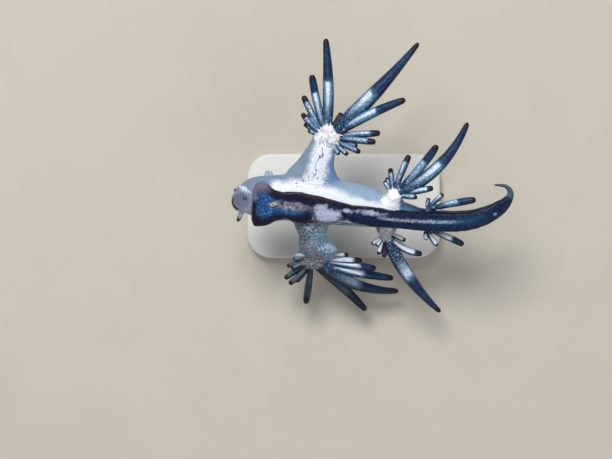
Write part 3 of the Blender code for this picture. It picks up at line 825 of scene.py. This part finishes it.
def carve_head(points, normals, found):
    """The disc round the mouth, its lip, the curved line of the mouth and the crescent."""
    x = points[:, 0] - DISC_CENTRE[0]
    y = points[:, 1] - DISC_CENTRE[1]
    facing = (normals[:, 2] > 0.1) & (points[:, 0] < -11.0)
    reach = np.hypot(x, y)
    edge = reach - DISC_RADIUS
    lip = bell(edge + 0.1, 0.1) * facing
    groove = 0.6 * bell(edge - 0.08, 0.07) * facing
    mouth_x = points[:, 0] - MOUTH_CENTRE[0]
    mouth_y = points[:, 1] - MOUTH_CENTRE[1]
    mouth_reach = np.hypot(mouth_x, np.minimum(mouth_y, 0)) - MOUTH_RADIUS
    lower_part = 1 - smooth_step(mouth_y, MOUTH_TOP - 0.1, MOUTH_TOP)
    found["mouth"] = bell(mouth_reach, 0.05) * facing * lower_part
    found["disc"] = (1 - smooth_step(edge, -0.22, 0.08)) * facing
    angle = np.degrees(np.arctan2(y, x)) % 360
    middle = np.clip(1 - ((angle - CRESCENT_ANGLE) / CRESCENT_REACH) ** 2, 0, 1)
    rim = smooth_step(edge, -0.14, -0.05) * smooth_step(middle, 0, 0.25)
    taper = CRESCENT_TAPER * smooth_step(np.abs(y + 0.15), 0.3, 0.95)
    above = points[:, 2] - AXIS_HEIGHT - 0.2 - CRESCENT_SLOPE * y - taper
    found["crescent"] = rim * smooth_step(above, -0.05, 0.05) * (points[:, 0] < -12.0)
    move = 0.05 * lip - 0.05 * groove - 0.1 * found["mouth"]
    return points + normals * move[:, None]


def make_trunk(source):
    """The body and arms as one form, with soft fillets where they join."""
    ob = mesh_object("trunk", source.points, source.faces)
    remesh(ob, TRUNK_VOXEL)
    edges = read_rows(ob.data.edges, "vertices", 2, np.int32)
    points = relax(read_rows(ob.data.vertices, "co", 3), edges, 0.5, 2)
    found = transfer([source], points)
    fillet = 0.0
    for name in ("arm", "hub"):
        share = found[name]
        for _ in range(10):
            share = neighbour_mean(share, edges)
        fillet = np.maximum(fillet, np.clip(6 * share * (1 - share), 0, 1))
    points = relax(points, edges, 0.5 * fillet, FILLET_ROUNDS)
    write_points(ob.data, points)
    return ob


def make_skin():
    """One skin over all the flesh, with its markings as named values at each point."""
    trunk = gather_trunk()
    limbs = gather_limbs()
    ob = mesh_object("skin", limbs.points, limbs.faces)
    core = make_trunk(trunk)
    join = bmesh.new()
    join.from_mesh(ob.data)
    join.from_mesh(core.data)
    join.to_mesh(ob.data)
    join.free()
    bpy.data.meshes.remove(core.data)
    remesh(ob, VOXEL)
    mesh = ob.data
    edges = read_rows(mesh.edges, "vertices", 2, np.int32)
    points = relax(read_rows(mesh.vertices, "co", 3), edges, 0.5, 3)
    found = transfer([trunk, limbs], points)
    for name in ("sole", "ceras", "hub", "arm", "feeler"):
        for _ in range(2):
            found[name] = neighbour_mean(found[name], edges)
    write_points(mesh, points)
    normals = read_rows(mesh.vertex_normals, "vector", 3, np.float32)
    firm = 1 - np.clip(found["ceras"] + found["feeler"], 0, 1)
    swell = 0.035 * ripple(points, 0.8) * firm + 0.012 * ripple(points, 0.3) * (0.4 + 0.6 * firm)
    knobs = 0.06 * ripple(points, 0.35) * found["hub"]
    points = points + normals * (swell + knobs)[:, None]
    write_points(mesh, points)
    wobble = ripple(points, 0.9)
    fine = ripple(points, 0.25)
    paint_sole(found, wobble, fine)
    paint_hubs(points, found, fine)
    paint_flank(points, found, wobble, fine)
    normals = read_rows(mesh.vertex_normals, "vector", 3, np.float32)
    points = carve_head(points, normals, found)
    write_points(mesh, points)
    for name, values in found.items():
        layer = mesh.attributes.new(name, "FLOAT", "POINT")
        layer.data.foreach_set("value", values.astype(np.float32))
    mesh.transform(Matrix.Scale(MM, 4))
    mesh.shade_smooth()
    finish_skin(ob)
    return ob


def linear(code):
    """A colour given as six hexadecimal digits, in the renderer's linear values."""
    shares = [int(code[i : i + 2], 16) / 255 for i in (0, 2, 4)]
    return tuple(c / 12.92 if c <= 0.04045 else ((c + 0.055) / 1.055) ** 2.4 for c in shares)


class Value:
    """A node's output, which adds, subtracts and multiplies as a number does."""

    def __init__(self, nodes, socket):
        self.nodes = nodes
        self.socket = socket

    def __add__(self, other):
        return self.nodes.math("ADD", self, other)

    def __sub__(self, other):
        return self.nodes.math("SUBTRACT", self, other)

    def __rsub__(self, other):
        return self.nodes.math("SUBTRACT", other, self)

    def __mul__(self, other):
        return self.nodes.math("MULTIPLY", self, other)


class Nodes:
    """Short calls for building a material's nodes. A colour is six hexadecimal digits."""

    def __init__(self, name):
        self.material = bpy.data.materials.new(name)
        self.material.use_nodes = True
        self.tree = self.material.node_tree
        place = self.add("TexCoord", {}, "Object")
        self.place = self.add("Mapping", {"Vector": place, "Scale": (1 / MM,) * 3})

    def put(self, value, socket):
        """Links a value to a socket, or sets the socket to a colour, a number or a row of them."""
        if isinstance(value, Value):
            self.tree.links.new(value.socket, socket)
        elif isinstance(value, str):
            socket.default_value = (*linear(value), 1.0)
        else:
            socket.default_value = value

    def add(self, kind, inputs, output=0, **settings):
        """A new node with its settings and inputs, and the value that it gives."""
        node = self.tree.nodes.new("ShaderNode" + kind)
        for name, setting in settings.items():
            setattr(node, name, setting)
        for name, value in inputs.items():
            self.put(value, node.inputs[name])
        return Value(self, node.outputs[output])

    def read(self, name):
        return self.add("Attribute", {}, "Fac", attribute_name=name)

    def math(self, operation, a, b, clamp=False):
        return self.add("Math", {0: a, 1: b}, operation=operation, use_clamp=clamp)

    def step(self, value, low, high, start=0.0, end=1.0):
        """A smooth rise from start to end while value goes from low to high."""
        inputs = dict(enumerate((value, low, high, start, end)))
        return self.add("MapRange", inputs, interpolation_type="SMOOTHSTEP")

    def mix(self, share, a, b, blend="MIX"):
        return self.add("Mix", {0: share, 6: a, 7: b}, 2, data_type="RGBA", blend_type=blend)

    def paint(self, colour, *layers):
        """Lays layers, each a share and a colour, over one another."""
        for share, layer in layers:
            colour = self.mix(share, colour, layer)
        return colour

    def noise(self, size, detail=3.0, roughness=0.6):
        """Noise of about 0 to 1 with features size millimetres across."""
        inputs = {"Vector": self.place, "Scale": 1 / size, "Detail": detail, "Roughness": roughness}
        return self.add("TexNoise", inputs, "Fac")

    def cells(self, size, feature="F1"):
        """Distance from the middle of the nearest cell, or from its edge, as a share of size."""
        inputs = {"Vector": self.place, "Scale": 1 / size}
        return self.add("TexVoronoi", inputs, "Distance", feature=feature)

    def bump(self, height, distance, **below):
        inputs = {"Height": height, "Distance": distance * MM, **below}
        return self.add("Bump", inputs, "Normal")

    def surface(self, ob, inputs):
        """Sets the shader's own inputs and gives the finished material to the object."""
        for name, value in inputs.items():
            self.put(value, self.tree.nodes["Principled BSDF"].inputs[name])
        ob.data.materials.append(self.material)


def ceras_colour(n):
    """Navy at the root, steel blue with a silver streak, navy again and a plum tip. The streak is
    partly a painted highlight, and the side turned from the light has painted shade.
    """
    reach = n.read("reach")
    upside = n.read("upside")
    right = n.read("right")
    chance = n.read("chance")
    streak_end = n.read("streak_end")
    ceras_shade = n.read("ceras_shade")
    grain = n.noise(0.1, 4, 0.7)
    broad = n.noise(0.6, 3)
    glint = n.step(n.cells(0.12), 0.36, 0.22)
    spark = n.step(n.cells(0.25), 0.27, 0.14) * n.step(broad, 0.4, 0.56)
    short = n.step(streak_end, 0.62, 0.82)
    ragged = reach + (broad - 0.5) * 0.12
    past = ragged - streak_end
    side = upside + (grain - 0.5) * 0.25
    start = ragged + chance * -0.16 + grain * 0.2 + short * 0.12
    # On the right side the streak runs longer and wider and is whiter: a painted highlight against
    # the shadow that the body casts there
    begun = n.step(start, 0.16, 0.42) * n.step(past, 0.015, right * -0.06 - 0.02) * (1.0 - ceras_shade)
    solid = n.step(n.noise(0.2, 3, 0.7) + chance * -0.22 + right * 0.14, 0.22, 0.44)
    wedge = side + n.math("DIVIDE", reach, streak_end, True) * 0.18 + right * 0.09
    streak = n.step(wedge, 1.01 - right * 0.14, 1.16) * begun * solid
    # Painted glints: sparks only on the side turned to the light, before the streak's end
    lit_glints = n.step(side, 0.1, 0.6) * n.step(past, 0.05, -0.02) * (1.0 - ceras_shade)
    # Painted shade: dark in the gaps between the roots and along the side turned from the light
    low = n.step(side, 0.74, 0.3) * n.step(reach - short * 0.3, 0.7, 0.22)
    low = n.math("MAXIMUM", low, n.step(side, 0.36, -0.2) * 0.85)
    navy = n.paint(
        n.mix(broad, "0b1838", "1b3a63"),
        (glint * n.step(broad, 0.48, 0.66), "2f7a94"),
        # Painted shade on the navy's side turned from the light
        (n.step(upside, 0.65, 0.25), "1c1a38"),
    )
    steel = n.mix(short * 0.62, n.mix(broad, "1c4468", "4b86af"), "1a3450")
    silver = n.mix(n.step(grain, 0.35, 0.6), "a4bed6", "f4f9ff")
    shaded_ceras = n.mix(n.step(past, -0.04, 0.08), n.mix(broad, "141c28", "39454f"), "0f1526")
    return n.paint(
        n.mix(grain, "0a1630", "1d456e"),
        (n.step(reach + grain * 0.2, 0.24, 0.6), steel),
        (n.step(grain, 0.48, 0.34), "10223a"),
        (glint * n.step(broad, 0.38, 0.6), "8ab4d2"),
        (n.step(past, -0.03, 0.06), navy),
        # Partly painted highlight: a soft pale sheen round the streak, leaning to the lit side
        (n.step(wedge, 0.7, 1.12) * begun * 0.42, "84abcf"),
        (streak, n.mix(right * 0.6, silver, "f0f5fc")),
        (spark * lit_glints, "d6e9f6"),
        # Painted shade on the cerata that lie in shadow
        (ceras_shade * 0.9, shaded_ceras),
        (n.read("plummy"), n.mix(grain, "2a1a24", "5d4350")),
        # Painted shade on the side turned from the light and between the roots
        (low * 0.9, "070d1a"),
        (n.step(ragged + chance * short * 0.1, 0.88, 0.96), "21141f"),
    )


def flank_colour(n):
    """Silver white beside the sole and along the arms, partly a painted highlight, blue grey at
    their sides, and painted shade on the right side.
    """
    right = n.read("right")
    aside = n.read("aside")
    grain = n.noise(0.12, 4, 0.7)
    broad = n.noise(1.1, 3)
    tint = n.noise(0.28, 2)
    uneven = n.step(n.noise(0.24, 3, 0.7), 0.4, 0.58)
    # Painted shade for the right side, darker towards one edge of the arm and lighter towards the
    # other, as light falls across it
    shaded_side = n.paint(
        n.mix(n.step(n.noise(0.42, 4, 0.75), 0.4, 0.6), "32465a", "88a6ba"),
        (n.step(aside, 0.3, 1.5) * 0.5, "86abc4"),
        (n.step(aside, 0.2, -1.6) * 0.45, "2a3642"),
    )
    side = n.paint(
        n.mix(broad, "697a90", "91a1b5"),
        (n.step(aside, -0.9, 1.3), n.mix(broad, "53739f", "7694bf")),
        (n.step(n.read("station"), 11.5, 13.8) * 0.85, n.mix(broad, "859cb7", "9cb3cb")),
        (right * 0.85, shaded_side),
    )
    # Painted shade: the white dimmed on the right side
    shaded_white = n.mix(n.step(n.noise(0.26, 4, 0.75), 0.42, 0.6), "293744", "a5b8c4")
    bright = n.paint(
        n.mix(n.step(grain, 0.3, 0.58), "bccbdc", "f3f6fa"),
        (n.step(tint, 0.52, 0.66), "e6e2f0"),
        (n.step(tint, 0.48, 0.34), "d2e4ef"),
        (right, shaded_white),
    )
    white = n.math("MAXIMUM", n.read("white"), n.read("white_tint"))
    specks = n.step(n.cells(0.32), 0.36, 0.22) * n.step(n.noise(0.5), 0.45, 0.54)
    return n.paint(
        side,
        (n.step(n.read("dorsal"), -0.2, -0.7), n.mix(broad, "9aa9b8", "c3cdd6")),
        (n.step(white + (grain - 0.5) * 0.5, 0.1, 0.85), bright),
        (n.step(n.read("white_tint"), 0.25, 0.75), "fbfcff"),
        (specks * n.math("MAXIMUM", n.read("speck"), right * 0.7), "2b313c"),
        (n.step(grain, 0.46, 0.3) * (right + 0.15) * 0.6, "3a4f63"),
        (n.read("dark_tint") * n.step(n.noise(0.3, 3), 0.56, 0.46), "161d2e"),
        (n.read("mauve_tint") * 0.8, n.mix(uneven, "5b5666", "b7b0bd")),
        (n.read("blue_tint") * 0.8, n.mix(uneven, "3f6f90", "a6d0ea")),
        (n.read("line") * 0.85, "2a2d33"),
    )


def sole_colour(n):
    """Navy with plum margins, a blue glitter in front and pale patches behind, the lavender ones
    painted reflections on the wet sole.
    """
    grain = n.noise(0.09, 4, 0.75)
    broad = n.noise(0.5, 3)
    fleck = n.noise(0.24, 3, 0.75)
    glint = n.step(n.cells(0.12), 0.36, 0.2)
    spark = n.step(n.cells(0.2), 0.28, 0.14) * n.step(broad, 0.45, 0.6)
    behind = n.step(n.read("station"), 12.0, 17.0)
    navy = n.paint(
        n.mix(broad, "010616", "061a44"),
        (glint * n.step(broad, 0.48, 0.72), "225084"),
        (behind * 0.7, n.mix(n.step(fleck, 0.36, 0.66), "01041a", "102e5c")),
    )
    blue = n.paint(
        n.mix(n.step(grain, 0.4, 0.6), "050e30", "1f62aa"),
        (glint * n.step(grain, 0.42, 0.55), "6fb6e6"),
        (spark, "a5dcf6"),
    )
    silver = n.mix(n.step(grain, 0.36, 0.6), "4a5c80", "c3ccdc")
    silver = n.mix(glint * n.step(broad, 0.44, 0.6), silver, "e6f1f0")
    mauve = n.paint(
        n.mix(n.step(broad, 0.35, 0.65), "4e4249", "9d94a6"),
        (glint * n.step(broad, 0.34, 0.52), "cfdde4"),
        (spark, "e8f0f2"),
        (n.step(grain, 0.5, 0.4), "1c2440"),
    )
    cream = n.mix(n.step(grain, 0.44, 0.5), "2a3033", "c9cfc4")
    painted_reflection = n.mix(n.step(grain, 0.34, 0.62), "8a90b4", "d0d6ec")
    patchy = n.read("painted_reflection") + (broad + grain - 1.0) * 1.1
    return n.paint(
        navy,
        (n.step(n.read("glitter") + grain * 0.4, 0.4, 0.9), blue),
        (n.read("teal"), n.mix(grain, "0b2048", "1d5c80")),
        (n.step(n.read("streak") * (fleck * 2.4 - 0.2), 0.38, 1.4), silver),
        (n.step(n.read("dot"), 0.1, 1.2), "788aa8"),
        (n.read("plum") * 0.95, n.mix(behind, n.mix(broad, "0d080f", "281c2c"), "02040e")),
        (n.step(n.read("strip") + (grain - 0.5) * 1.3, 0.3, 0.95) * 0.95, mauve),
        (n.step(n.read("cream"), 0.35, 0.6), cream),
        # Painted reflections on the wet sole
        (n.step(patchy, 0.26, 0.95) * 0.92, painted_reflection),
        (n.read("veil") * 0.85, n.mix(broad, "655f76", "88849c")),
    )


def head_colour(n, colour):
    """Grey blue, with the mauve disc of the mouth, a plum crescent, a painted highlight on the snout
    and the feelers.
    """
    broad = n.noise(0.6, 3)
    grain = n.noise(0.12, 4, 0.7)
    chin = n.read("chin_tint")
    head = n.paint(
        n.mix(broad, "58627a", "858ea6"),
        (n.step(grain, 0.5, 0.66), "a3b2c6"),
        (chin * 0.75, "b0b8d2"),
    )
    dark = n.step(n.read("reach"), 0.45, 0.8) * n.read("chance")
    return n.paint(
        colour,
        (n.read("head") * 0.9, head),
        # Painted highlight on the snout
        (n.read("snout_highlight") * n.step(grain, 0.3, 0.52), "cde1ee"),
        (n.read("disc"), n.mix(chin * 0.6, n.mix(n.noise(0.2), "53586c", "767c90"), "a3a9c2")),
        (n.step(n.read("crescent"), 0.3, 0.6), "1f141e"),
        (n.read("feeler"), n.mix(dark, n.mix(broad, "8fa8bf", "b3c6d8"), "231c2c")),
    )


def hub_colour(n):
    """White flesh with grey threads, with painted shade on the right side."""
    pale = n.read("pale")
    uneven = n.step(n.noise(0.3, 4, 0.8), 0.36, 0.64)
    threads = n.step(n.cells(0.4, "DISTANCE_TO_EDGE"), 0.08, 0.02)
    hub = n.mix(n.step(n.noise(0.16, 4), 0.32, 0.54), "b4abb8", "fbf9fa")
    hub = n.mix(threads * n.step(n.noise(0.7), 0.46, 0.58) * 0.6, hub, "6c6a76")
    hub = n.mix(n.step(n.noise(0.9, 2), 0.5, 0.4), hub, "cdd9e8", "MULTIPLY")
    # Painted shade on the hubs of the right side, lighter on the pale hubs
    shaded_hub = n.mix(uneven, "3c3f4a", "908f98")
    shaded_hub = n.mix(pale, shaded_hub, n.mix(uneven, "7b7882", "dcd9df"))
    return n.paint(hub, (pale * 0.95, "fdfdff"), (n.read("right"), shaded_hub))


def finish_skin(ob):
    """Wet skin: its colour by part, fine pits and a thin film of water."""
    n = Nodes("slug_skin")
    station = n.read("station")
    cloud = n.noise(0.3)
    off_back = n.step(n.read("dorsal"), -0.45, 0.15) * (1.0 - n.read("arm"))
    body = n.paint(
        flank_colour(n),
        (n.read("rump") * 0.9, n.mix(cloud, "24466a", "4b7aa2")),
        (n.step(station, 21.4, 23.2) * off_back, n.mix(cloud, "091530", "182b52")),
    )
    curl = n.mix(cloud, "2c3c4e", "586a7e")
    curl = n.mix(n.step(station, CURL_END - 0.5, CURL_END), curl, "4a4450")
    colour = n.paint(
        head_colour(n, body),
        (n.read("sole"), sole_colour(n)),
        (n.step(station, CURL_START - 0.3, CURL_START + 0.4), curl),
        (n.read("hub"), hub_colour(n)),
        (n.read("ceras"), ceras_colour(n)),
        (n.step(n.read("mouth"), 0.15, 0.6), "171420"),
    )
    pits = n.noise(0.09, 4, 0.7)
    n.surface(ob, {
        "Base Color": colour,
        "Roughness": n.step(pits, 0.2, 0.8, 0.22, 0.38),
        "Normal": n.bump(pits, 0.03, Normal=n.bump(n.noise(0.45, 3), 0.05)),
        "Subsurface Weight": 0.08,
        "Subsurface Radius": (0.6, 0.8, 1.0),
        "Subsurface Scale": 0.4 * MM,
        "Specular IOR Level": 0.18,
        "Coat Weight": 0.06,
        "Coat Roughness": 0.1,
    })


def tube_object(name, rings):
    """A closed form over rings of points, smooth except at its sharp edges."""
    source = Source()
    source.add([[(Vector(point), channel()) for point in ring] for ring in rings])
    ob = mesh_object(name, source.points, source.faces)
    ob.data.transform(Matrix.Scale(MM, 4))
    ob.data.shade_smooth()
    ob.data.set_sharp_from_angle(angle=math.radians(40))
    return ob


def make_base():
    """A flat plate with round corners and a soft upper edge."""
    levels = [(0.0, BASE_FOOT), (BASE_FOOT, 0.0)]
    for turn in np.linspace(0, math.pi / 2, 6):
        rise = BASE_BEVEL * (math.sin(turn) - 1)
        levels.append((BASE_THICKNESS + rise, BASE_BEVEL * (1 - math.cos(turn))))
    rings = []
    for z, inset in levels:
        ring = []
        for side_x, side_y, start in ((1, 1, 0), (-1, 1, 90), (-1, -1, 180), (1, -1, 270)):
            for turn in np.radians(np.linspace(start, start + 90, 16)):
                x = side_x * (BASE_LENGTH / 2 - BASE_CORNER) + (BASE_CORNER - inset) * math.cos(turn)
                y = side_y * (BASE_WIDTH / 2 - BASE_CORNER) + (BASE_CORNER - inset) * math.sin(turn)
                ring.append((x, y, z))
        rings.append(ring)
    ob = tube_object("base_plate", rings)
    n = Nodes("base_finish")
    grain = n.noise(0.15, 3)
    n.surface(ob, {
        "Base Color": n.mix(n.noise(2.5, 4), "d3d1cb", "dfddd8"),
        "Roughness": n.step(grain, 0.3, 0.7, 0.38, 0.5),
        "Normal": n.bump(grain, 0.01),
    })
    return ob


def make_rod(name, x):
    """A thin rod from a small collar on the base up to the animal's back."""
    s = float(np.interp(x, BODY.rows[:, 0], BODY.lengths))
    y = BODY.read(s)[1]
    profile = [
        (BASE_THICKNESS - 0.05, COLLAR_RADIUS),
        (BASE_THICKNESS + 0.25, COLLAR_RADIUS),
        (BASE_THICKNESS + 0.38, 0.9 * COLLAR_RADIUS),
        (BASE_THICKNESS + COLLAR_HEIGHT, ROD_RADIUS),
        (ROD_TOP, ROD_RADIUS),
    ]
    rings = [[(x + r * out, y + r * up, z) for _, out, up in circle(32)] for z, r in profile]
    ob = tube_object("rod_" + name, rings)
    n = Nodes("rod_finish_" + name)
    lines = n.noise(0.12, 2)
    n.surface(ob, {
        "Base Color": n.mix(lines, "a9abae", "cfd0d2"),
        "Metallic": 1.0,
        "Roughness": n.step(lines, 0.3, 0.7, 0.22, 0.36),
    })
    return ob


def make_floor():
    size = 1200.0
    corners = [(-size, -size, 0), (size, -size, 0), (size, size, 0), (-size, size, 0)]
    ob = mesh_object("floor", corners, [(0, 1, 2, 3)])
    ob.data.transform(Matrix.Scale(MM, 4))
    n = Nodes("floor_finish")
    n.surface(ob, {"Base Color": n.mix(n.noise(9.0), "bfb7a8", "c6bfb1"), "Roughness": 0.8})


def place_object(name, data, place):
    """A light or camera at a place in millimetres."""
    ob = bpy.data.objects.new(name, data)
    bpy.context.scene.collection.objects.link(ob)
    ob.location = Vector(place) * MM
    return ob


def add_light(name, place, size, power):
    """A round soft light that shines at the middle of the animal."""
    data = bpy.data.lights.new(name, "AREA")
    data.shape = "DISK"
    data.size = size * MM
    data.energy = power
    ob = place_object(name, data, place)
    ob.rotation_euler = (lift((0, 0, 0)) - Vector(place)).to_track_quat("-Z", "Y").to_euler()


def make_lights():
    """A large soft key from above the photo's upper edge, a fill and a pale surround."""
    add_light("key", (-60, 155, 285), 140, 0.88)
    add_light("fill", (160, -200, 220), 260, 0.22)
    world = bpy.data.worlds.new("studio")
    world.use_nodes = True
    back = world.node_tree.nodes["Background"]
    back.inputs["Color"].default_value = (*linear("dfe5ec"), 1)
    back.inputs["Strength"].default_value = 0.42
    bpy.context.scene.world = world


def make_camera():
    """Looks straight down on the animal, framed as the photo is."""
    data = bpy.data.cameras.new("camera")
    data.lens = LENS
    data.sensor_width = SENSOR
    data.clip_start = 0.005
    data.clip_end = 5.0
    ob = place_object("camera", data, lift((*VIEW_CENTRE, VIEW_WIDTH * LENS / SENSOR)))
    bpy.context.scene.camera = ob


def dress(ob, slot, *nodes):
    """Hangs the piece on the root and hides the solids that it stands for. The slot is not used."""
    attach(ob, "root")
    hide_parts(*nodes)


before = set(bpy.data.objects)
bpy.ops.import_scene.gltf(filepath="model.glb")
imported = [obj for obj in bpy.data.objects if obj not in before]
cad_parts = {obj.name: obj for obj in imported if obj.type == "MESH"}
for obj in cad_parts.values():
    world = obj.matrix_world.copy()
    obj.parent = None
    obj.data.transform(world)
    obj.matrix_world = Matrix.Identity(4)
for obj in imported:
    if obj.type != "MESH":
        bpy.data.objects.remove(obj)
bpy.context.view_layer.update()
flesh = [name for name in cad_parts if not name.startswith("stand_")]
dress(make_skin(), "pale_skin", *flesh)
dress(make_base(), "stand_base", "stand_base")
for rod, rod_x in RODS.items():
    dress(make_rod(rod, rod_x), "stand_rod", "stand_rod_" + rod)
make_floor()
make_lights()
make_camera()
bpy.context.scene.view_settings.view_transform = "Standard"
